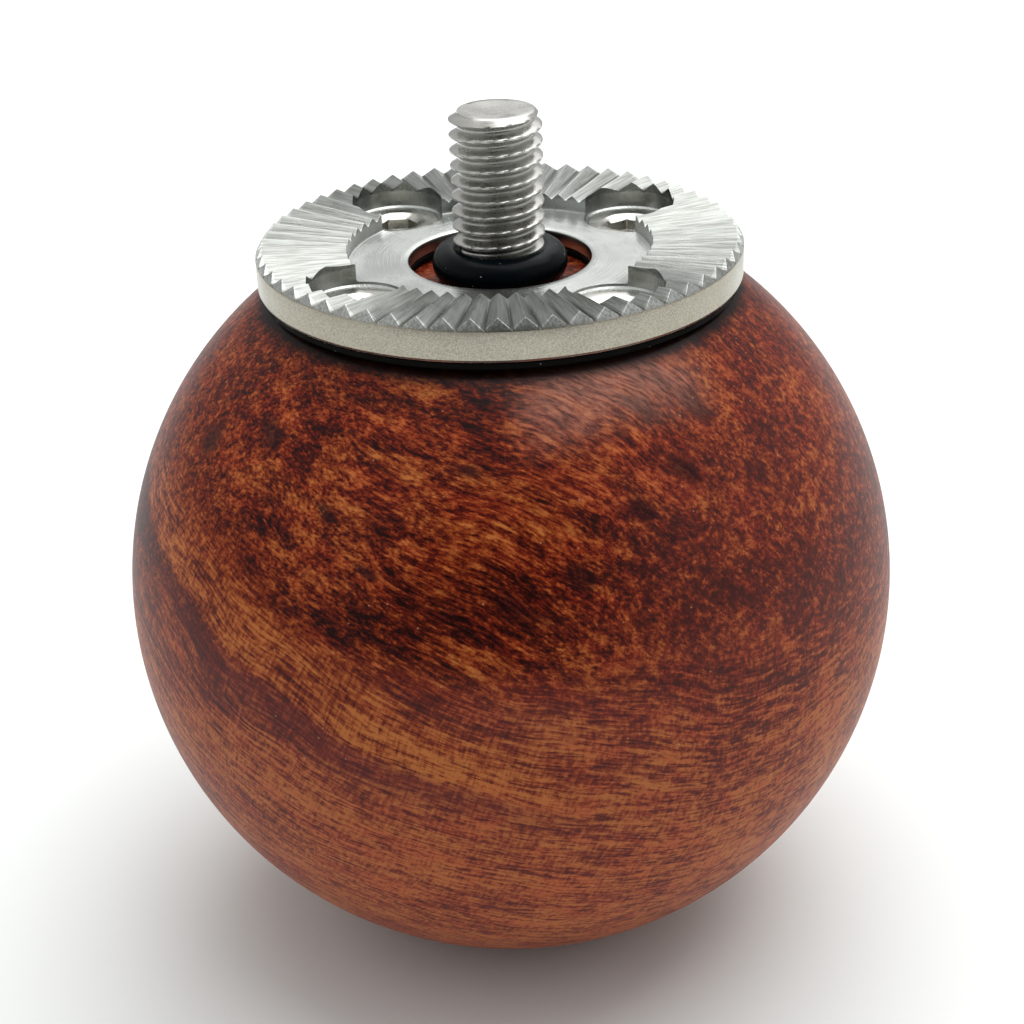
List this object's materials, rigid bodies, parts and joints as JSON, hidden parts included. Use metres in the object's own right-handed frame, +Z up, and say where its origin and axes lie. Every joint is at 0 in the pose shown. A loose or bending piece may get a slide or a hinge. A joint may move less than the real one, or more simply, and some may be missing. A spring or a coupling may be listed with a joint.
{
  "type": "ball hand grip with rosette mount",
  "caption": "Turned wooden ball hand grip with a toothed aluminium mounting rosette and a captive clamping bolt turned by a hexagon key from below.",
  "frame": {"origin": "centre of the flat under the ball, which it stands on", "axes": "+Z up along the clamping bolt, out of the rosette; the rosette's screws lie on the diagonals between X and Y"},
  "size_m": [0.053, 0.053, 0.0581],
  "materials": {
    "wood": "satin oiled red-brown hardwood",
    "gasket_rubber": "matt black",
    "rosette_aluminium": "machined",
    "screw_steel": "plain stainless",
    "insert_brass": "turned",
    "bolt_steel": "plain stainless",
    "washer_steel": "plain stainless",
    "ring_rubber": "satin black nitrile"
  },
  "bodies": {
    "grip": {"ball_grip": "wood", "rosette_gasket": "gasket_rubber", "rosette": "rosette_aluminium", "rosette_screw_1": "screw_steel", "rosette_screw_2": "screw_steel", "rosette_screw_3": "screw_steel", "rosette_screw_4": "screw_steel", "screw_insert_1": "insert_brass", "screw_insert_2": "insert_brass", "screw_insert_3": "insert_brass", "screw_insert_4": "insert_brass"},
    "washer": {"bolt_washer": "washer_steel"},
    "bolt": {"clamp_bolt": "bolt_steel", "retaining_ring": "ring_rubber"}
  },
  "joints": [
    {"name": "bolt_lift", "type": "slide", "parent": "grip", "child": "washer", "axis": [0, 0, 1], "range_m": [0, 0.001]},
    {"name": "bolt_turn", "type": "hinge", "parent": "washer", "child": "bolt", "pos_m": [0, 0, 0.00807], "axis": [0, 0, 1], "continuous": true}
  ]
}
